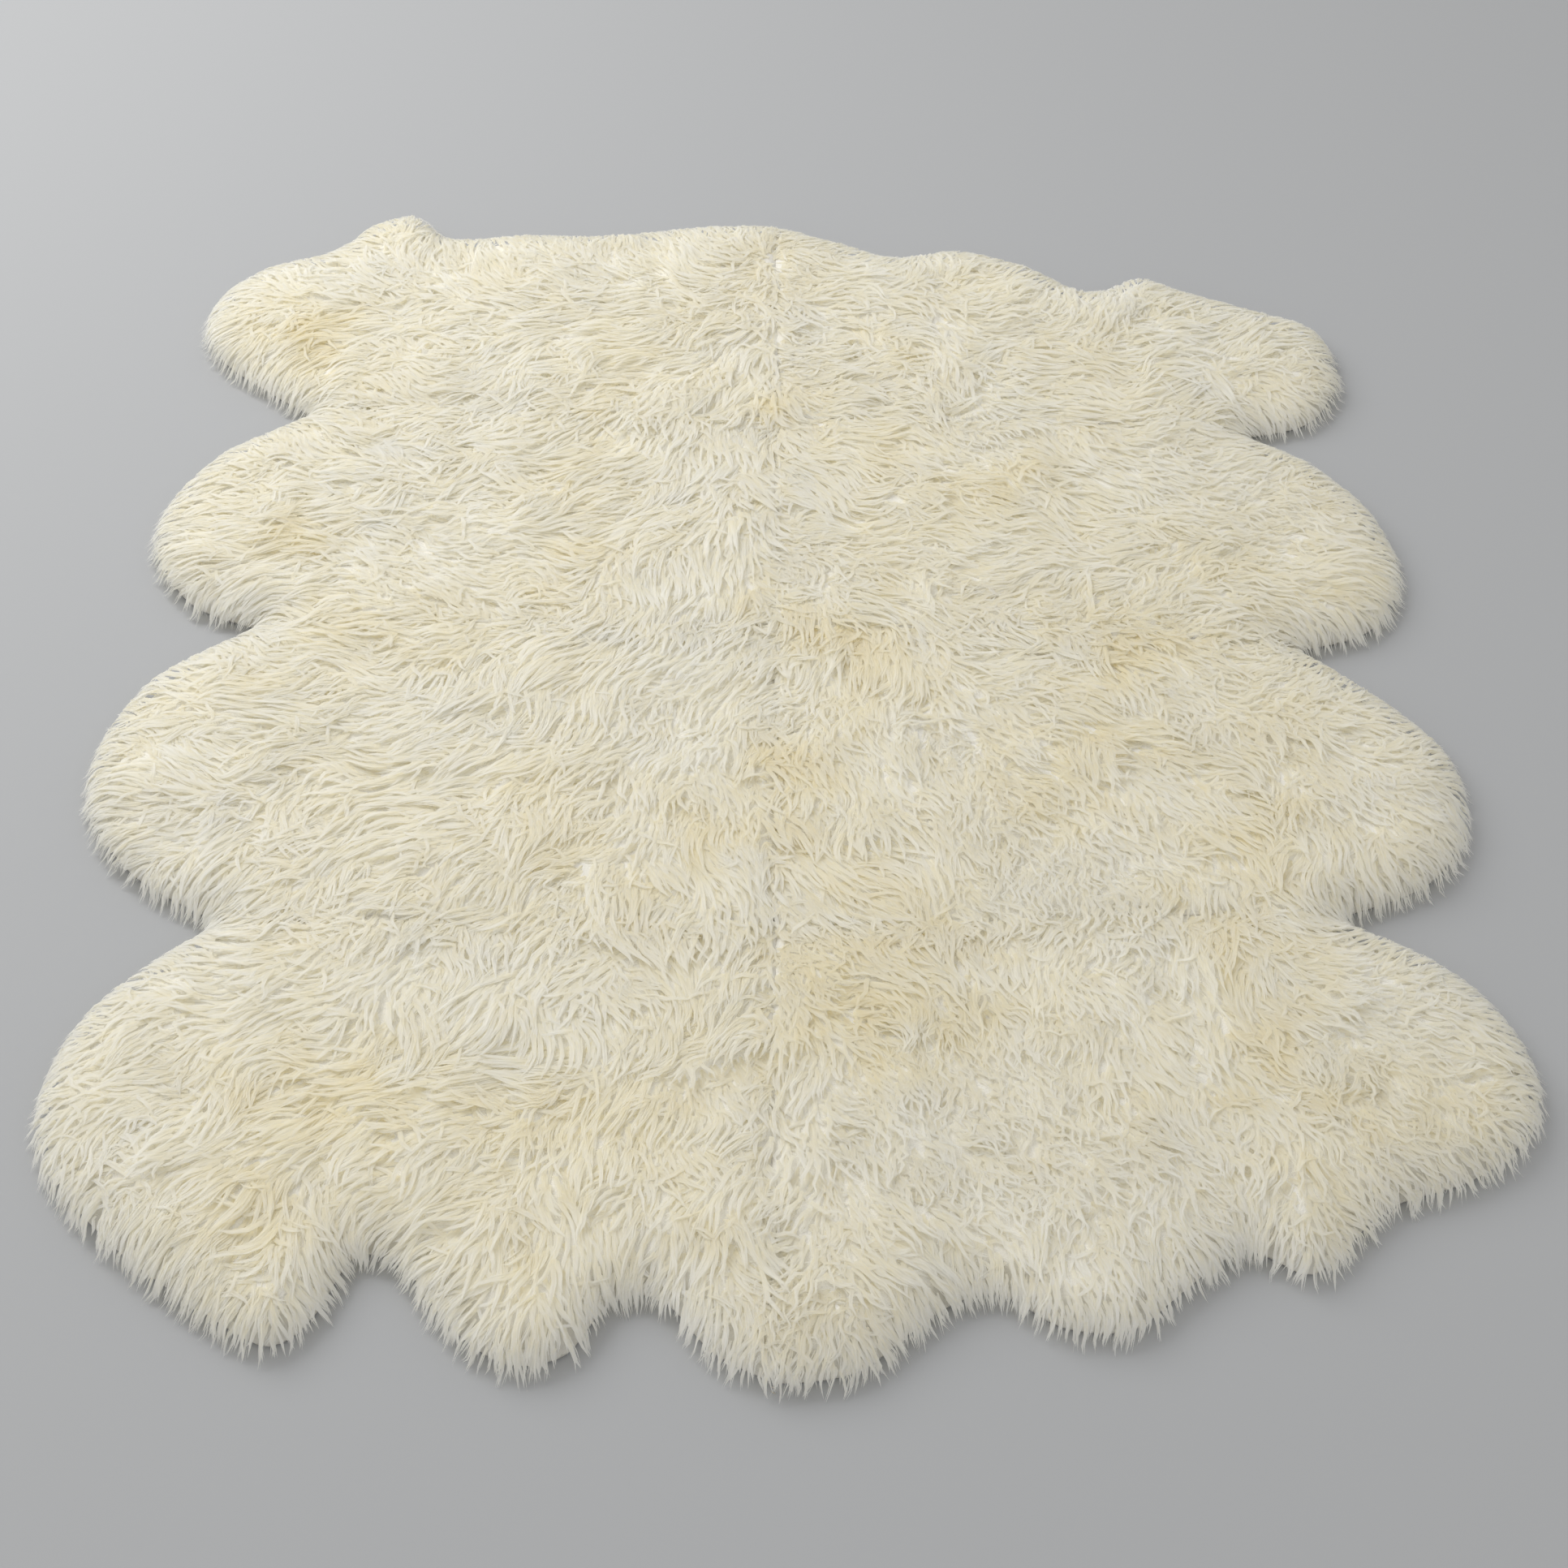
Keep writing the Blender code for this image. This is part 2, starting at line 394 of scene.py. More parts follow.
def pile_top(points):
    """The height of the top of the pile over each point of the plan, drooping past the outline."""
    inward = INWARD(points)
    share = np.clip(inward / ROUND_WIDTH, 0, 1)
    rounded = np.sqrt(1 - (1 - share) ** 2)
    waves = (1 - LUMP_SHARE) * SWELL_FIELD(points) + LUMP_SHARE * LUMP_FIELD(points)
    uneven = SWELL * waves - 0.5 * SWELL
    dip = SEAM_DIP * np.exp(-((TO_SEAM(points) / SEAM_DIP_WIDTH) ** 2))
    height = RIM_TOP + (PILE_TOP - RIM_TOP + uneven - dip) * rounded
    height += np.minimum(inward, 0) * OVERHANG_DROP
    return np.maximum(height, LOWEST_TOP)


def pile_slopes():
    """How steeply the top of the pile rises along x and y, as a map of the plan."""
    points, shape = map_points()
    height = smoothed(pile_top(points).reshape(shape), 2)
    return PlanMap(np.stack(np.gradient(height, MAP_STEP), -1))


PILE_SLOPE = pile_slopes()


# ---- colour over the plan ----

TINT_FIELD = RandomField(random_stream("tint"), 0.16)
FINE_TINT_FIELD = RandomField(random_stream("fine tint"), 0.045)
BASE_CREAM = 0.22
PELT_CREAM = 0.35
TINT_CREAM = 0.20
FINE_TINT_CREAM = 0.12
SPOT_CREAM = 0.5
WHITE_EDGE = 0.75  # how much whiter the wool is at the free edge
WHITE_EDGE_WIDTH = 0.035
MOST_CREAM = 1.2


def cream_at(points, cream):
    """How creamy the wool is at each point, from 0, white, to about 1, yellow."""
    fine = FINE_TINT_FIELD(points)
    value = BASE_CREAM + PELT_CREAM * cream + TINT_CREAM * TINT_FIELD(points) + FINE_TINT_CREAM * fine
    for x, y, radius, strength in CREAM_SPOTS:
        gap = ((points - (x, y)) ** 2).sum(1)
        value += SPOT_CREAM * strength * np.exp(-gap / (2 * radius**2)) * (0.8 + 0.4 * fine)
    whiter = np.exp(-np.clip(INWARD(points), 0, 1) / WHITE_EDGE_WIDTH)
    return np.clip(value * (1 - WHITE_EDGE * whiter), 0, MOST_CREAM)


# ---- meshes ----


def link(mesh):
    """An object in the scene with that mesh, and with its name."""
    made = bpy.data.objects.new(mesh.name, mesh)
    bpy.context.scene.collection.objects.link(made)
    return made


def point_attribute(mesh, name, values):
    """Gives each point of a mesh a number that a material can read."""
    mesh.attributes.new(name, "FLOAT", "POINT").data.foreach_set("value", values.astype(np.float32))


def mesh_from(name, points, faces):
    """A mesh from an array of points and arrays of faces, one array for each number of corners."""
    mesh = bpy.data.meshes.new(name)
    corners = np.concatenate([f.ravel() for f in faces])
    sizes = np.concatenate([np.full(len(f), f.shape[1]) for f in faces])
    mesh.vertices.add(len(points))
    mesh.vertices.foreach_set("co", points.astype(np.float32).ravel())
    mesh.loops.add(len(corners))
    mesh.loops.foreach_set("vertex_index", corners.astype(np.int32))
    mesh.polygons.add(len(sizes))
    starts = np.concatenate([[0], np.cumsum(sizes)[:-1]])
    mesh.polygons.foreach_set("loop_start", starts.astype(np.int32))
    mesh.update(calc_edges=True)
    mesh.polygons.foreach_set("use_smooth", np.ones(len(sizes), bool))
    return mesh


def depth_inside(points, name, inset, overlap):
    """How deep each point is in a pelt's outline, with its free edge drawn in and its seams let out."""
    within = inside(points, OUTLINES[name])
    seam_depth = np.where(within, 1, -1) * distance_to(points, SEAMS[name]) + overlap
    outline_depth = np.where(within, 1, -1) * distance_to(points, OUTLINES[name]) + overlap
    depth = np.where(within, seam_depth, outline_depth)
    return np.minimum(depth, INWARD(points) - inset)


def pelt_sheet(name, step, inset, overlap, top, bottom):
    """A closed sheet over a pelt's plan, on a square grid whose edge is moved onto the outline.

    top and bottom give the heights over points of the plan."""
    outline = OUTLINES[name].reshape(-1, 2)
    low, high = outline.min(0) - step, outline.max(0) + step
    x = np.arange(low[0], high[0], step)
    y = np.arange(low[1], high[1], step)
    grid = np.stack(np.meshgrid(x, y, indexing="ij"), -1)
    shape = grid.shape[:2]
    points = grid.reshape(-1, 2)
    centres = (grid[:-1, :-1] + step / 2).reshape(-1, 2)
    kept = depth_inside(centres, name, inset, overlap).reshape(shape[0] - 1, shape[1] - 1) > 0
    index = np.arange(len(points)).reshape(shape)
    quads = np.stack([index[:-1, :-1], index[1:, :-1], index[1:, 1:], index[:-1, 1:]], -1)[kept]
    edges = np.concatenate([quads[:, [i, (i + 1) % 4]] for i in range(4)])
    keys = np.sort(edges, 1)
    _, first, count = np.unique(keys, axis=0, return_index=True, return_counts=True)
    rim = edges[first[count == 1]]
    rim_points = np.unique(rim)
    # A few Newton steps bring the rim of the grid onto the outline, none longer than half a square.
    nudge = step * 0.05
    for _ in range(4):
        at = points[rim_points]
        depth = depth_inside(at, name, inset, overlap)
        slope_x = (depth_inside(at + (nudge, 0), name, inset, overlap) - depth) / nudge
        slope_y = (depth_inside(at + (0, nudge), name, inset, overlap) - depth) / nudge
        slope = np.stack([slope_x, slope_y], 1)
        size = np.maximum((slope**2).sum(1), 0.25)
        move = -(depth / size)[:, None] * slope
        reach = np.maximum(np.linalg.norm(move, axis=1, keepdims=True), 1e-9)
        points[rim_points] += move * np.minimum(1, step * 0.5 / reach)
    used, renumbered = np.unique(quads, return_inverse=True)
    quads = renumbered.reshape(-1, 4)
    rim = np.searchsorted(used, rim)
    plan = points[used]
    upper = np.column_stack([plan, top(plan)])
    lower = np.column_stack([plan, bottom(plan)])
    count = len(plan)
    sides = np.stack([rim[:, 1], rim[:, 0], rim[:, 0] + count, rim[:, 1] + count], 1)
    faces = np.concatenate([quads, quads[:, ::-1] + count, sides])
    return np.concatenate([upper, lower]), faces


def plan_area(points, faces):
    """The flat area of a sheet, from the faces of its upper side."""
    half = len(points) // 2
    quads = points[faces[(faces < half).all(1)], :2]
    across = quads[:, 2] - quads[:, 0]
    along = quads[:, 3] - quads[:, 1]
    return float(np.abs(across[:, 0] * along[:, 1] - across[:, 1] * along[:, 0]).sum() / 2)


# ---- the wool ----


def combed(name, points):
    """Which way the wool of a pelt is combed, at each point of the plan."""
    lobe, middle = (math.radians(angle % 360) for angle in PELTS[name][:2])
    share = np.clip(np.abs(points[:, 0]) / TURN_WIDTH, 0, 1)
    angle = middle + (lobe - middle) * share * share * (3 - 2 * share)
    return np.stack([np.cos(angle), np.sin(angle)], 1)


def combed_map():
    """The way that the wool is combed, carried softly over the seams."""
    points, shape = map_points()
    ways = np.zeros((len(points), 2))
    for name in NAMES:
        within = inside(points, OUTLINES[name])
        ways[within] = combed(name, points[within])
    ways = ways.reshape(*shape, 2)
    return PlanMap(np.stack([smoothed(ways[..., axis], SEAM_BLUR_PASSES) for axis in (0, 1)], -1))


SOFT_COMBED = combed_map()


class Lie:
    """Which way the wool of one pelt lies over its plan."""

    def __init__(self, name):
        self.name = name
        random = random_stream("lie " + name)
        self.wide = RandomField(random, WIDE_TURN_LENGTH)
        self.close = RandomField(random, CLOSE_TURN_LENGTH)

    def __call__(self, points):
        inward = np.clip(INWARD(points), 0, 1)
        pull = EDGE_PULL * np.exp(-((inward / EDGE_PULL_WIDTH) ** 2))
        soft = SOFT_COMBED(points)
        soft = soft / np.maximum(np.linalg.norm(soft, axis=1, keepdims=True), LEAST_SLOPE)
        way = OWN_LIE * combed(self.name, points) + (1 - OWN_LIE) * soft
        way = way + pull[:, None] * OUTWARD(points)
        free = 1 - EDGE_CALM * np.exp(-((inward / EDGE_CALM_WIDTH) ** 2))
        turn = free * (WIDE_TURN * self.wide(points) + CLOSE_TURN * self.close(points))
        way = turned(way, turn)
        return way / np.maximum(np.linalg.norm(way, axis=1, keepdims=True), 0.05)


def turned(ways, angle):
    """Directions in the plan, each turned by its angle."""
    cos, sin = np.cos(angle), np.sin(angle)
    return np.stack([ways[:, 0] * cos - ways[:, 1] * sin, ways[:, 0] * sin + ways[:, 1] * cos], 1)


def scattered(low, high, spacing, random):
    """Points spread evenly over a rectangle, but not in rows."""
    x = np.arange(low[0], high[0], spacing)
    y = np.arange(low[1], high[1], spacing * math.sqrt(3) / 2)
    points = np.stack(np.meshgrid(x, y, indexing="ij"), -1)
    points[:, 1::2, 0] += spacing / 2
    moves = random.uniform(-ROOT_SCATTER, ROOT_SCATTER, (points.size // 2, 2))
    return points.reshape(-1, 2) + moves * spacing


class Tufts:
    """The clumps that the wool of one pelt falls into. Each lies its own way and overlaps the next."""

    def __init__(self, name, lie):
        random = random_stream("tufts " + name)
        outline = OUTLINES[name].reshape(-1, 2)
        self.centres = scattered(outline.min(0), outline.max(0), TUFT_SPACING, random)
        self.ways = lie(self.centres)
        count = len(self.centres)
        self.turn = random.normal(0, TUFT_TURN, count)
        self.fan = random.normal(0, TUFT_FAN, count)
        self.lift = random.normal(0, TUFT_LIFT, count)
        self.tone = random.uniform(0, 1, count)
        self.bend = [RandomField(random, TUFT_BEND_LENGTH) for _ in range(2)]

    def __call__(self, points):
        """(how far the lie turns, how much higher the wool is, its tone) for wool rooted at each point."""
        bent = points + TUFT_BEND * np.stack([field(points) for field in self.bend], 1)
        gap = bent[:, None] - self.centres[None]
        tuft = (gap**2).sum(2).argmin(1)
        gap = gap[np.arange(len(points)), tuft] / TUFT_SPACING
        way = self.ways[tuft]
        ahead = np.clip((gap * way).sum(1), -TUFT_REACH, TUFT_REACH)
        aside = way[:, 0] * gap[:, 1] - way[:, 1] * gap[:, 0]
        free = np.clip(INWARD(points) / TUFT_EDGE_WIDTH, TUFT_EDGE_SHARE, 1)
        turn = free * (self.turn[tuft] + self.fan[tuft] * aside)
        return turn, free * (self.lift[tuft] + TUFT_RISE * ahead), self.tone[tuft]


def spread_roots(name, spacing, random):
    """Where wool of one pelt grows away from its free edge."""
    outline = OUTLINES[name].reshape(-1, 2)
    roots = scattered(outline.min(0), outline.max(0), spacing, random)
    inset = LOCK_ROOT_INSET * random.uniform(*ROOT_INSET_RANGE, len(roots))
    return roots[inside(roots, OUTLINES[name]) & (INWARD(roots) > inset)]


def fringe_roots(name, random):
    """Where the wool along the free edge of one pelt grows."""
    outline = OUTLINES[name].reshape(-1, 2)
    roots = scattered(outline.min(0), outline.max(0), FRINGE_SPACING, random)
    inward = INWARD(roots)
    nearest, farthest = FRINGE_ROOTS
    return roots[inside(roots, OUTLINES[name]) & (inward > nearest) & (inward < farthest)]


def kept_short(length, roots, random):
    """Lengths, cut so that the wool reaches only a little past the free edge."""
    reach = INWARD(roots) + random.uniform(*FRINGE_REACH, len(roots))
    return np.maximum(np.minimum(length, reach), SHORTEST_LOCK)


def lock_lines(roots, length, stray, lie, count):
    """Lines of count points, which follow the lie of the wool but for the angle that each strays by."""
    turn = np.stack([np.cos(stray), -np.sin(stray), np.sin(stray), np.cos(stray)], 1).reshape(-1, 2, 2)
    line = [roots]
    for _ in range(count - 1):
        way = np.einsum("nij,nj->ni", turn, lie(line[-1]))
        line.append(line[-1] + way * (length / (count - 1))[:, None])
    return np.stack(line, 1)


def ways_along(line):
    """The unit vectors along and across lines, at each of their points."""
    way = np.gradient(line, axis=1)
    way /= np.maximum(np.linalg.norm(way, axis=2, keepdims=True), 1e-9)
    return way, np.stack([-way[..., 1], way[..., 0]], -1)


def bare_places(name, line, random):
    """Roots for extra locks, where the wool parts and would leave the fleece bare."""
    spots = line[:, 1:].reshape(-1, 2)
    low = OUTLINES[name].reshape(-1, 2).min(0)
    cells = np.ceil((OUTLINES[name].reshape(-1, 2).max(0) - low) / BARE_CELL).astype(int)
    cell = np.floor((spots - low) / BARE_CELL).astype(int)
    cell = cell[(cell >= 0).all(1) & (cell < cells).all(1)]
    cover = np.zeros(cells)
    np.add.at(cover, tuple(cell.T), 1)
    usual = BARE_LIMIT * (LOCK_POINTS - 1) * (BARE_CELL / LOCK_SPACING) ** 2 * 2 / math.sqrt(3)
    wanted = np.round(np.clip(usual - cover, 0, None) / usual * BARE_TUFTS).astype(int)
    places = np.repeat(np.argwhere(wanted > 0), wanted[wanted > 0], axis=0)
    places = low + (places + random.uniform(0, 1, places.shape)) * BARE_CELL
    return places[inside(places, OUTLINES[name]) & (INWARD(places) > LOCK_ROOT_INSET)]


def curliness(points, curl, curl_field):
    """How curly the wool is at each point, from 0 to 1."""
    return np.clip(curl * (CURL_LEVEL + CURL_UNEVENNESS * curl_field(points)), 0, 1)


class Locks:
    """The middle lines of the locks of one pelt, and what each lock is like."""

    def __init__(self, name, lie, tufts, curl):
        random = random_stream("wool " + name)
        share = np.linspace(0, 1, LOCK_POINTS)
        phase_field = RandomField(random, PHASE_FIELD_LENGTH)
        curl_field = RandomField(random, CURL_FIELD_LENGTH)
        length_field = RandomField(random, LENGTH_FIELD_LENGTH)
        roots = np.concatenate([spread_roots(name, LOCK_SPACING, random), fringe_roots(name, random)])
        uneven = LENGTH_FIELD * length_field(roots) + random.normal(0, LENGTH_SPREAD, len(roots))
        length = LOCK_LENGTH * (1 + uneven)
        length *= 1 - CURL_SHORTENING * curliness(roots, curl, curl_field)
        length = kept_short(length, roots, random)
        stray = tufts(roots)[0] + random.normal(0, LOCK_STRAY, len(roots))
        line = lock_lines(roots, length, stray, lie, LOCK_POINTS)
        bare = bare_places(name, line, random)
        short = LOCK_LENGTH * random.uniform(*BARE_LENGTH, len(bare))
        strays = lock_lines(bare, short, random.normal(0, BARE_STRAY, len(bare)), lie, LOCK_POINTS)
        line = np.concatenate([line, strays])
        roots = line[:, 0]
        self.count = len(roots)
        _, lift, self.tone = tufts(roots)
        self.inland = np.clip(INWARD(roots) / INLAND_WIDTH, 0, 1)
        self.curly = self.inland * curliness(roots, curl, curl_field)
        self.lift = lift + random.normal(0, LOCK_LIFT, self.count)
        # Waves: sideways and up and down, in step with the neighbouring locks.
        _, self.across = ways_along(line)
        phase = PHASE_FIELD * phase_field(roots) + random.normal(0, PHASE_SPREAD, self.count)
        turns = WAVES + CURLY_WAVES * self.curly
        angle = 2 * math.pi * (turns[:, None] * share[None, :] + phase[:, None] / 3)
        growth = np.minimum(1, SWING_RISE * share)
        swing = (SWING + CURLY_SWING * self.curly)[:, None] * growth[None, :]
        self.line = line + self.across * (swing * np.sin(angle))[..., None]
        self.ripple = RIPPLE * swing * np.cos(angle)


def rising(line, share, lift, ripple):
    """Lines in the plan, given the heights at which wool lies on the pile."""
    top = pile_top(line.reshape(-1, 2)).reshape(line.shape[:2])
    rise = ROOT_DEPTH * (1 - np.clip(share / ROOT_SHARE, 0, 1)) ** ROOT_CURVE
    height = top - LOCK_DEPTH + lift - rise - TIP_DROOP * share**3 + ripple
    height = np.clip(height, LOWEST_WOOL, CAD_BOX[1].z + TIP_ALLOWANCE)
    return np.concatenate([line, height[..., None]], 2)


def lock_bodies(name, locks, cream):
    """The broad ribbons of the locks of one pelt."""
    random = random_stream("bodies " + name)
    share = np.broadcast_to(np.linspace(0, 1, LOCK_POINTS), (locks.count, LOCK_POINTS))
    centre = rising(locks.line, share, locks.lift[:, None], locks.ripple)
    width = LOCK_WIDTH * random.uniform(*WIDTH_RANGE, locks.count)
    width = width * (EDGE_WIDTH + (1 - EDGE_WIDTH) * locks.inland)
    crown = LOCK_CROWN * (STRAIGHT_CROWN + CURLY_CROWN * locks.curly)
    crown = crown * (EDGE_CROWN + (1 - EDGE_CROWN) * locks.inland)
    roll = np.clip(random.normal(0, LOCK_ROLL, locks.count), -STEEPEST_ROLL, STEEPEST_ROLL)
    taper = LOCK_TAPER + CURLY_TAPER * locks.curly
    body = Ribbons(centre, locks.across, width, crown, roll, 3, taper)
    return body.mesh("wool_" + name, locks.tone, cream, random)


def lock_wisps(name, locks, cream):
    """The thin loose wisps along the locks of one pelt."""
    random = random_stream("wisps " + name)
    blades = np.repeat(np.arange(locks.count), WISPS_A_LOCK)
    total = len(blades)
    start = random.uniform(0, WISP_START, total)
    end = random.uniform(*WISP_END, total)
    share = start[:, None] + (end - start)[:, None] * np.linspace(0, 1, WISP_POINTS)[None, :]
    place = np.clip(share, 0, 1) * (LOCK_POINTS - 1)
    low = np.minimum(place.astype(int), LOCK_POINTS - 2)
    part = (place - low)[..., None]
    pick = blades[:, None]
    line = locks.line[pick, low] * (1 - part) + locks.line[pick, low + 1] * part
    across = locks.across[pick, low]
    near, far = locks.ripple[pick, low], locks.ripple[pick, low + 1]
    ripple = near * (1 - part[..., 0]) + far * part[..., 0]
    ahead = locks.line[:, -1] - locks.line[:, -2]
    past_tip = np.clip(share - 1, 0, None)[..., None] * (LOCK_POINTS - 1)
    line = line + past_tip * ahead[blades][:, None]
    aside = random.uniform(-WISP_ASIDE, WISP_ASIDE, total) * LOCK_WIDTH
    gather = 1 - (WISP_GATHER + CURLY_GATHER * locks.curly[blades])[:, None] * share
    line = line + across * (aside[:, None] * gather)[..., None]
    lift = locks.lift[blades] + random.uniform(*WISP_LIFT, total)
    centre = rising(line, share, lift[:, None], ripple)
    width = WISP_WIDTH * random.uniform(*WISP_WIDTH_RANGE, total)
    roll = np.clip(random.normal(0, WISP_ROLL, total), -STEEPEST_WISP_ROLL, STEEPEST_WISP_ROLL)
    wisps = Ribbons(centre, across, width, np.zeros(total), roll, 2, np.full(total, WISP_TAPER))
    return wisps.mesh("wisps_" + name, locks.tone[blades], cream, random)


class Ribbons:
    """Ribbons that taper to a tip along centre lines (ribbon, point, xyz), some points across."""

    def __init__(self, centre, across, width, crown, roll, columns, taper):
        self.total, count = centre.shape[:2]
        self.share = np.linspace(0, 1, count)
        self.columns = columns
        self.spread = np.linspace(-1, 1, columns)
        narrowing = 1 - taper[:, None] * self.share[None, :-1] ** TAPER_POWER
        narrowing[:, 0] *= ROOT_NARROWING
        level = across[:, :-1] * np.cos(roll)[:, None, None]
        tilt = np.broadcast_to(np.sin(roll)[:, None, None], (self.total, count - 1, 1))
        self.side = np.concatenate([level, tilt], 2)
        self.half = width[:, None] * narrowing / 2
        reach = (self.half[..., None] * self.side)[:, :, None]
        body = centre[:, :-1, None] + self.spread[:, None] * reach
        body[..., 2] += (crown[:, None] * narrowing)[..., None] * (1 - self.spread**2)
        self.points = np.concatenate([body.reshape(self.total, -1, 3), centre[:, -1:]], 1)
        self.points[..., 2] = np.maximum(self.points[..., 2], LOWEST_SIDE)
        self.centre = centre

    def faces(self):
        """Quads along the ribbon and triangles at its tip, wound to face up."""
        per_ribbon = self.points.shape[1]
        start = (np.arange(self.total) * per_ribbon)[:, None]
        quads, tips = [], []
        for column in range(self.columns - 1):
            for row in range(len(self.share) - 2):
                k = row * self.columns + column
                quads.append(start + np.array([[k + 1, k, k + self.columns, k + self.columns + 1]]))
            last = (len(self.share) - 2) * self.columns + column
            tips.append(start + np.array([[last + 1, last, per_ribbon - 1]]))
        return [np.concatenate(quads), np.concatenate(tips)]

    def normals(self):
        """Shades each ribbon mostly as the pile that it lies on, and a little as the ribbon itself."""
        flat = np.cross(self.side, np.gradient(self.centre, axis=1)[:, :-1])
        flat *= np.sign(flat[..., 2:]) / np.maximum(np.linalg.norm(flat, axis=2, keepdims=True), 1e-9)
        slope = PILE_SLOPE(self.centre[:, :-1].reshape(-1, 3)[:, :2])
        pile = np.column_stack([-slope, np.ones(len(slope))])
        pile /= np.linalg.norm(pile, axis=1, keepdims=True)
        normals = (1 - SOFT_NORMAL) * flat + SOFT_NORMAL * pile.reshape(flat.shape)
        rounded = ROUND_NORMAL * self.spread[:, None] if self.columns > 2 else np.zeros((2, 1))
        normals = normals[:, :, None] + rounded * self.side[:, :, None]
        normals = normals.reshape(self.total, -1, 3)
        normals = np.concatenate([normals, normals[:, -2:-1]], 1)
        return normals / np.linalg.norm(normals, axis=2, keepdims=True)

    def mesh(self, name, tone, cream, random):
        """The mesh with what its material reads: along, across, tone, cream."""
        points = self.points.reshape(-1, 3)
        mesh = mesh_from(name, points, self.faces())
        per_ribbon = self.points.shape[1]
        along = np.concatenate([np.repeat(self.share[:-1], self.columns), self.share[-1:]])
        across = (self.half[..., None] * self.spread).reshape(self.total, -1)
        across = np.concatenate([across, np.zeros((self.total, 1))], 1)
        # Each ribbon reads its streaks from a place of its own.
        across = across + random.uniform(0, 10, self.total)[:, None]
        tone = (tone + random.uniform(0, 1, self.total)) / 2
        point_attribute(mesh, "along", np.tile(along, self.total))
        point_attribute(mesh, "across", across.ravel())
        point_attribute(mesh, "tone", np.repeat(tone, per_ribbon))
        point_attribute(mesh, "cream", cream_at(points[:, :2], cream))
        place_on_map(mesh, self.centre, along, self.columns)
        mesh.normals_split_custom_set_from_vertices(self.normals().reshape(-1, 3))
        return link(mesh)


# A ribbon's cell on the UV map.
CELL_SIDE = 0.12  # left free on each side, as a share of the cell
CELL_END = 0.06
STRIPE = 0.02  # ribbons are put in order along stripes of the plan this wide


def place_on_map(mesh, centre, along, columns):
    """Gives each ribbon a narrow cell of its own on the mesh's UV map, in order over the plan."""
    total = len(centre)
    cell_rows = max(1, math.ceil(math.sqrt(total) / 2))
    cell_columns = math.ceil(total / cell_rows)
    order = np.empty(total, int)
    stripe = np.floor(centre[:, 0, 1] / STRIPE)
    order[np.lexsort((centre[:, 0, 0], stripe))] = np.arange(total)
    across = np.linspace(CELL_SIDE, 1 - CELL_SIDE, columns)
    left = np.append(np.tile(across, centre.shape[1] - 1), 0.5)
    u = (order[:, None] % cell_columns + left[None, :]) / cell_columns
    v = (order[:, None] // cell_columns + CELL_END + (1 - 2 * CELL_END) * along[None, :]) / cell_rows
    place = np.stack([u.ravel(), v.ravel()], 1)
    corner = np.empty(len(mesh.loops), np.int32)
    mesh.loops.foreach_get("vertex_index", corner)
    layer = mesh.uv_layers.new(name="OFBake")
    layer.data.foreach_set("uv", place[corner].astype(np.float32).ravel())


# ---- materials ----


def node_material(name):
    """(material, its nodes, a function that links, its Principled shader)."""
    material = bpy.data.materials.new(name)
    material.use_nodes = True
    tree = material.node_tree
    return material, tree.nodes, tree.links.new, tree.nodes["Principled BSDF"]


def attribute(nodes, name):
    """The output that reads a number of the mesh's points."""
    node = nodes.new("ShaderNodeAttribute")
    node.attribute_name = name
    return node.outputs["Fac"]


def ramp(nodes, wire, value, stops):
    """A colour ramp driven by a value, with (place, colour) stops."""
    node = nodes.new("ShaderNodeValToRGB")
    for i, (place, colour) in enumerate(stops):
        stop = node.color_ramp.elements[i] if i < 2 else node.color_ramp.elements.new(place)
        stop.position, stop.color = place, (*colour, 1)
    wire(value, node.inputs["Fac"])
    return node.outputs["Color"]


def times(nodes, wire, value, factor):
    """An output multiplied by a number."""
    node = nodes.new("ShaderNodeMath")
    node.operation = "MULTIPLY"
    node.inputs[1].default_value = factor
    wire(value, node.inputs[0])
    return node.outputs["Value"]


def multiplied(nodes, wire, one, two):
    """Two colours multiplied."""
    node = nodes.new("ShaderNodeMix")
    node.data_type, node.blend_type = "RGBA", "MULTIPLY"
    inputs = {socket.identifier: socket for socket in node.inputs}
    inputs["Factor_Float"].default_value = 1.0
    wire(one, inputs["A_Color"])
    wire(two, inputs["B_Color"])
    return {socket.identifier: socket for socket in node.outputs}["Result_Color"]


WHITE_WOOL = (0.985, 0.985, 0.970)
IVORY_WOOL = (0.985, 0.978, 0.938)
CREAM_WOOL = (0.980, 0.955, 0.850)
PURE_WHITE = (1.0, 1.0, 1.0)
DULL_TONE = (0.985, 0.983, 0.978)
# painted shade: the darker, warmer colour of the wool at its root, deep in the crevices between locks
PAINTED_ROOT_SHADE = (0.985, 0.965, 0.89)
DARK_STREAK = (0.965, 0.957, 0.93)
LIGHT_THROUGH = 0.60  # the share of the light that the wool lets through
STRAND_SCALE = 700.0
STRAND_STRETCH = 0.004  # how slowly the streaks change along a lock


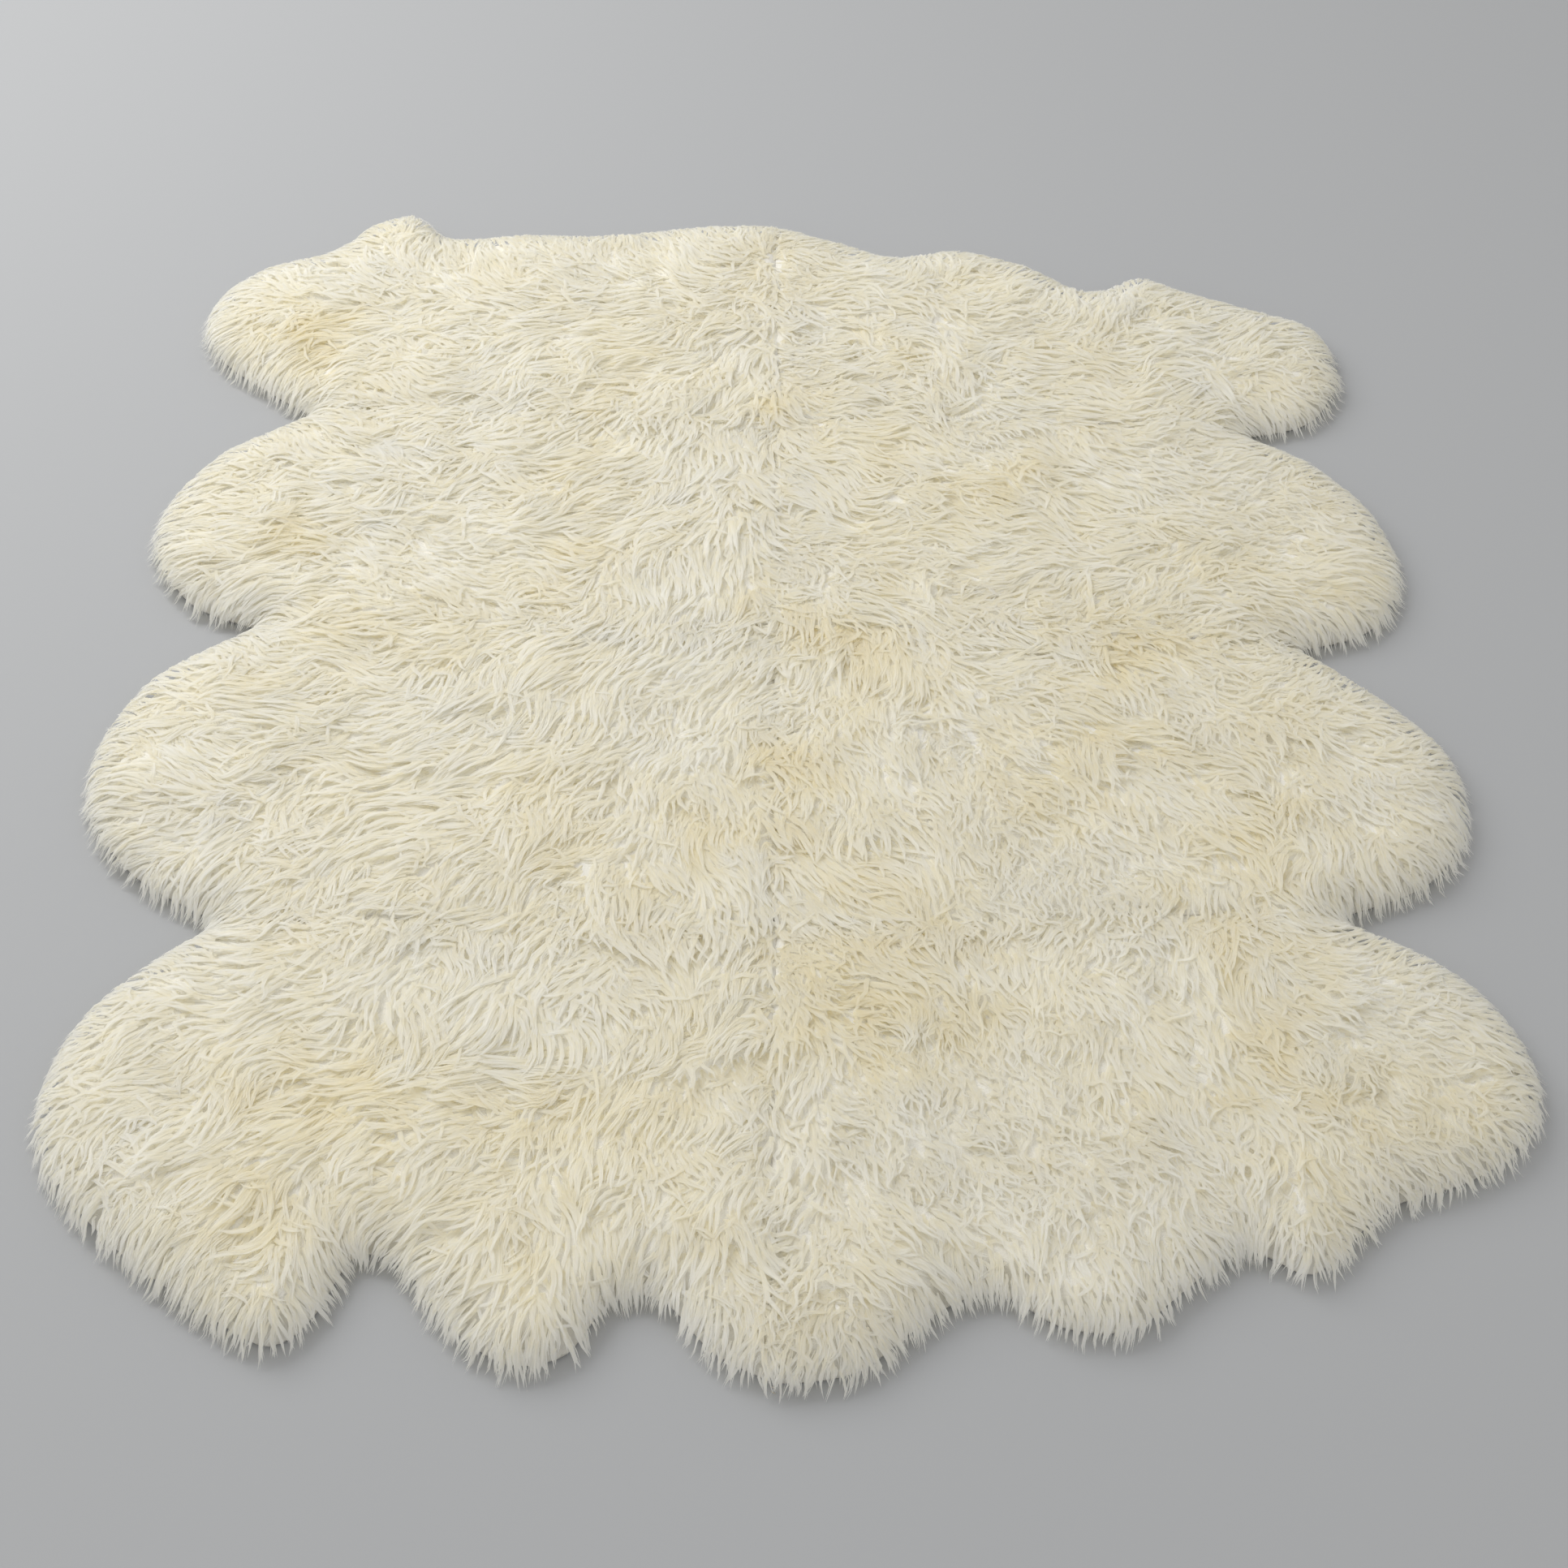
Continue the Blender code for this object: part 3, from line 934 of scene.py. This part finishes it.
def wool_material():
    """Long wool: ivory with cream patches, darker and warmer towards the root as painted shade of the
    crevices, streaked with fine strands.
    """
    material, nodes, wire, shader = node_material("wool")
    along = attribute(nodes, "along")
    shades = [(0.0, WHITE_WOOL), (1.0, CREAM_WOOL), (0.45, IVORY_WOOL)]
    shade = ramp(nodes, wire, attribute(nodes, "cream"), shades)
    tone = ramp(nodes, wire, attribute(nodes, "tone"), [(0.0, DULL_TONE), (1.0, PURE_WHITE)])
    # painted shade: the wool darkens and warms towards its root, where it lies down in the crevices
    root = ramp(nodes, wire, along, [(0.0, PAINTED_ROOT_SHADE), (0.55, PURE_WHITE)])
    place = nodes.new("ShaderNodeCombineXYZ")
    wire(attribute(nodes, "across"), place.inputs["X"])
    wire(times(nodes, wire, along, STRAND_STRETCH), place.inputs["Y"])
    strands = nodes.new("ShaderNodeTexNoise")
    strands.inputs["Scale"].default_value = STRAND_SCALE
    strands.inputs["Detail"].default_value = 2
    wire(place.outputs["Vector"], strands.inputs["Vector"])
    streak = ramp(nodes, wire, strands.outputs["Fac"], [(0.30, DARK_STREAK), (0.70, PURE_WHITE)])
    colour = shade
    for tint in (tone, root, streak):
        colour = multiplied(nodes, wire, colour, tint)
    wire(colour, shader.inputs["Base Color"])
    shader.inputs["Roughness"].default_value = 0.62
    shader.inputs["Sheen Weight"].default_value = 0.25
    shader.inputs["Sheen Roughness"].default_value = 0.4
    through = nodes.new("ShaderNodeBsdfTranslucent")
    wire(colour, through.inputs["Color"])
    mixed = nodes.new("ShaderNodeMixShader")
    mixed.inputs["Fac"].default_value = LIGHT_THROUGH
    wire(shader.outputs["BSDF"], mixed.inputs[1])
    wire(through.outputs["BSDF"], mixed.inputs[2])
    wire(mixed.outputs["Shader"], nodes["Material Output"].inputs["Surface"])
    return material


def noise(nodes, scale, detail=2.0):
    """The value of a noise texture of that scale."""
    node = nodes.new("ShaderNodeTexNoise")
    node.inputs["Scale"].default_value = scale
    node.inputs["Detail"].default_value = detail
    return node.outputs["Fac"]


def add_bump(nodes, wire, shader, height, strength, distance):
    """Makes a shader's surface look uneven."""
    bump = nodes.new("ShaderNodeBump")
    bump.inputs["Strength"].default_value = strength
    bump.inputs["Distance"].default_value = distance
    wire(height, bump.inputs["Height"])
    wire(bump.outputs["Normal"], shader.inputs["Normal"])


# painted shade: the fleece is coloured darker than the locks, as the shade deep in the pile
SHADED_FLEECE_COLOURS = ((0.80, 0.775, 0.69), (0.85, 0.825, 0.755))
HIDE_COLOURS = ((0.66, 0.52, 0.36), (0.78, 0.68, 0.52))
THREAD_COLOURS = ((0.62, 0.56, 0.45), (0.72, 0.67, 0.56))


def fleece_material():
    """The dense wool under the locks, pale cream with fine strands, darker than the locks as painted shade
    of the deep pile.
    """
    material, nodes, wire, shader = node_material("fleece")
    strands = noise(nodes, 260, 3)
    colour = ramp(nodes, wire, strands, [(0.3, SHADED_FLEECE_COLOURS[0]), (0.7, SHADED_FLEECE_COLOURS[1])])
    wire(colour, shader.inputs["Base Color"])
    shader.inputs["Roughness"].default_value = 0.9
    add_bump(nodes, wire, shader, strands, 0.6, 0.002)
    return material


def hide_material():
    """The flesh side of the hide: pale matt suede, a little blotched."""
    material, nodes, wire, shader = node_material("hide")
    blotch = noise(nodes, 9, 6)
    colour = ramp(nodes, wire, blotch, [(0.3, HIDE_COLOURS[0]), (0.7, HIDE_COLOURS[1])])
    wire(colour, shader.inputs["Base Color"])
    shader.inputs["Roughness"].default_value = 0.92
    add_bump(nodes, wire, shader, noise(nodes, 900), 0.3, 0.0004)
    return material


# ---- the pelts ----


HIDE_TOP = HIDE_UNDER + HIDE_THICKNESS


def at_height(height):
    """A function that gives the same height over every point of the plan."""
    return lambda plan: np.full(len(plan), height)


def add_hide(name):
    """(the hide of one pelt, its flat length and width, its flat area)."""
    points, faces = pelt_sheet(name, HIDE_STEP, HIDE_INSET, 0, at_height(HIDE_TOP), at_height(HIDE_UNDER))
    hide = link(mesh_from("hide_" + name, points, [faces]))
    size = points[:, :2].max(0) - points[:, :2].min(0)
    return hide, (float(size[0]), float(size[1])), plan_area(points, faces)


def add_fleece(name, tufts):
    """The dense wool of one pelt, under its locks."""

    def fleece_top(plan):
        depth = FLEECE_DEPTH - np.minimum(FLEECE_HOLLOW * tufts(plan)[1], 0)
        fade = np.clip((INWARD(plan) - FLEECE_INSET) / FLEECE_ROUND, 0, 1)
        full = pile_top(plan) - depth - HIDE_TOP - FLEECE_RIM
        return HIDE_TOP + FLEECE_RIM + full * fade**FLEECE_ROUNDNESS

    under = at_height(HIDE_TOP + FLEECE_CLEARANCE)
    points, faces = pelt_sheet(name, FLEECE_STEP, FLEECE_INSET, SEAM_OVERLAP, fleece_top, under)
    return link(mesh_from("fleece_" + name, points, [faces]))


def add_pelt(name, materials):
    """The hide, fleece, locks and wisps of one pelt."""
    hide, flat, area = add_hide(name)
    hide.data.materials.append(materials["hide"])
    _, _, cream, curl = PELTS[name]
    lie = Lie(name)
    tufts = Tufts(name, lie)
    fleece = add_fleece(name, tufts)
    fleece.data.materials.append(materials["fleece"])
    locks = Locks(name, lie, tufts, curl)
    bodies = lock_bodies(name, locks, cream)
    bodies.data.materials.append(materials["wool"])
    wisps = lock_wisps(name, locks, cream)
    wisps.data.materials.append(materials["wool"])
    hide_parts("pelt_" + name)
    for piece, slot in ((hide, "hide"), (fleece, "wool"), (bodies, "wool"), (wisps, "wool")):
        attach(piece, "root")


def stitches(name, lines):
    """A mesh of short slanting stitches along lines, under the hides."""
    places = []
    for start, end in lines:
        length = np.linalg.norm(end - start)
        way = (end - start) / length
        across = np.array([-way[1], way[0]])
        for reach in np.arange(STITCH_STEP / 2, length, STITCH_STEP):
            middle = start + way * reach
            lean = across * STITCH_LENGTH / 2 + way * STITCH_STEP * STITCH_SLANT
            places.append((middle - lean, middle + lean))
    shape = bmesh.new()
    for one, two in places:
        add_stitch(shape, one, two)
    mesh = bpy.data.meshes.new(name)
    shape.to_mesh(mesh)
    shape.free()
    mesh.shade_smooth()
    return link(mesh)


def add_stitch(shape, one, two):
    """A thread from one point under the hides to another, four-sided, with pointed ends."""
    way = np.append((two - one) / np.linalg.norm(two - one), 0.0)
    across = np.array([-way[1], way[0], 0.0])
    up = np.array([0.0, 0.0, 1.0])
    middle = np.append((one + two) / 2, THREAD_HEIGHT)
    tips = [shape.verts.new(np.append(end, HIDE_UNDER)) for end in (one, two)]
    sides = (across, up * THREAD_FLATNESS, -across, -up * THREAD_FLATNESS)
    ring = [shape.verts.new(middle + THREAD_WIDTH / 2 * side) for side in sides]
    for before, after in zip(ring, ring[1:] + ring[:1]):
        shape.faces.new((tips[1], before, after))
        shape.faces.new((tips[0], after, before))


def seam_lines():
    """Every seam of the rug once, as straight lines in the plan."""
    lines = []
    for name in NAMES:
        edges = SEAMS[name]
        if lines:
            edges = edges[distance_to(edges.mean(1), lines) > SEAM_TOLERANCE]
        lines += list(edges)
    return lines


def thread_material():
    """Waxed sewing thread."""
    material, nodes, wire, shader = node_material("thread")
    colour = ramp(nodes, wire, noise(nodes, 600), [(0.3, THREAD_COLOURS[0]), (0.7, THREAD_COLOURS[1])])
    wire(colour, shader.inputs["Base Color"])
    shader.inputs["Roughness"].default_value = 0.7
    return material


def add_seam_stitches(material):
    """All the stitches of the rug, in one piece."""
    thread = stitches("seam_stitches", seam_lines())
    thread.data.materials.append(material)
    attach(thread, "root")


# ---- the studio ----

FLOOR_COLOUR = (0.40, 0.405, 0.41, 1)
FLOOR_SIZE = 30.0
SKY_COLOUR = (1.0, 1.0, 1.0, 1)
SKY_STRENGTH = 0.70
MOST_BOUNCES = 20
SOFT_BOUNCES = 12
LIGHTS = (
    # name, place, diameter in metres, watts
    ("key", (-2.6, 2.0, 3.2), 3.8, 120),
    ("fill", (2.6, -1.8, 3.0), 2.5, 2),
)


def add_camera():
    """The camera, where the photo was taken from."""
    data = bpy.data.cameras.new("camera")
    data.lens, data.sensor_width = LENS_MM, SENSOR_MM
    camera = bpy.data.objects.new("camera", data)
    camera.location = CAMERA_PLACE
    camera.rotation_euler = (CAMERA_TILT, 0, 0)
    bpy.context.scene.collection.objects.link(camera)
    bpy.context.scene.camera = camera


def add_light(name, place, size, watts):
    """A round soft light that points to the middle of the rug."""
    data = bpy.data.lights.new(name, "AREA")
    data.shape, data.size, data.energy = "DISK", size, watts
    light = bpy.data.objects.new(name, data)
    light.location = place
    light.rotation_euler = (-Vector(place)).to_track_quat("-Z", "Y").to_euler()
    bpy.context.scene.collection.objects.link(light)


def add_floor():
    """The plain pale floor."""
    mesh = bpy.data.meshes.new("floor")
    shape = bmesh.new()
    bmesh.ops.create_grid(shape, x_segments=1, y_segments=1, size=FLOOR_SIZE)
    shape.to_mesh(mesh)
    shape.free()
    floor = link(mesh)
    material, _, _, shader = node_material("floor")
    shader.inputs["Base Color"].default_value = FLOOR_COLOUR
    shader.inputs["Roughness"].default_value = 0.85
    floor.data.materials.append(material)


def add_studio_light():
    """Plain soft light, with the bounces that pale wool needs to look soft."""
    world = bpy.data.worlds.new("world")
    world.use_nodes = True
    sky = world.node_tree.nodes["Background"]
    sky.inputs["Color"].default_value = SKY_COLOUR
    sky.inputs["Strength"].default_value = SKY_STRENGTH
    scene = bpy.context.scene
    scene.world = world
    for light in LIGHTS:
        add_light(*light)
    scene.view_settings.view_transform = "Standard"
    scene.cycles.max_bounces = MOST_BOUNCES
    scene.cycles.diffuse_bounces = SOFT_BOUNCES
    scene.cycles.transmission_bounces = SOFT_BOUNCES


add_camera()
add_floor()
add_studio_light()
add_seam_stitches(thread_material())
MATERIALS = {"wool": wool_material(), "fleece": fleece_material(), "hide": hide_material()}
for pelt_name in NAMES:
    add_pelt(pelt_name, MATERIALS)
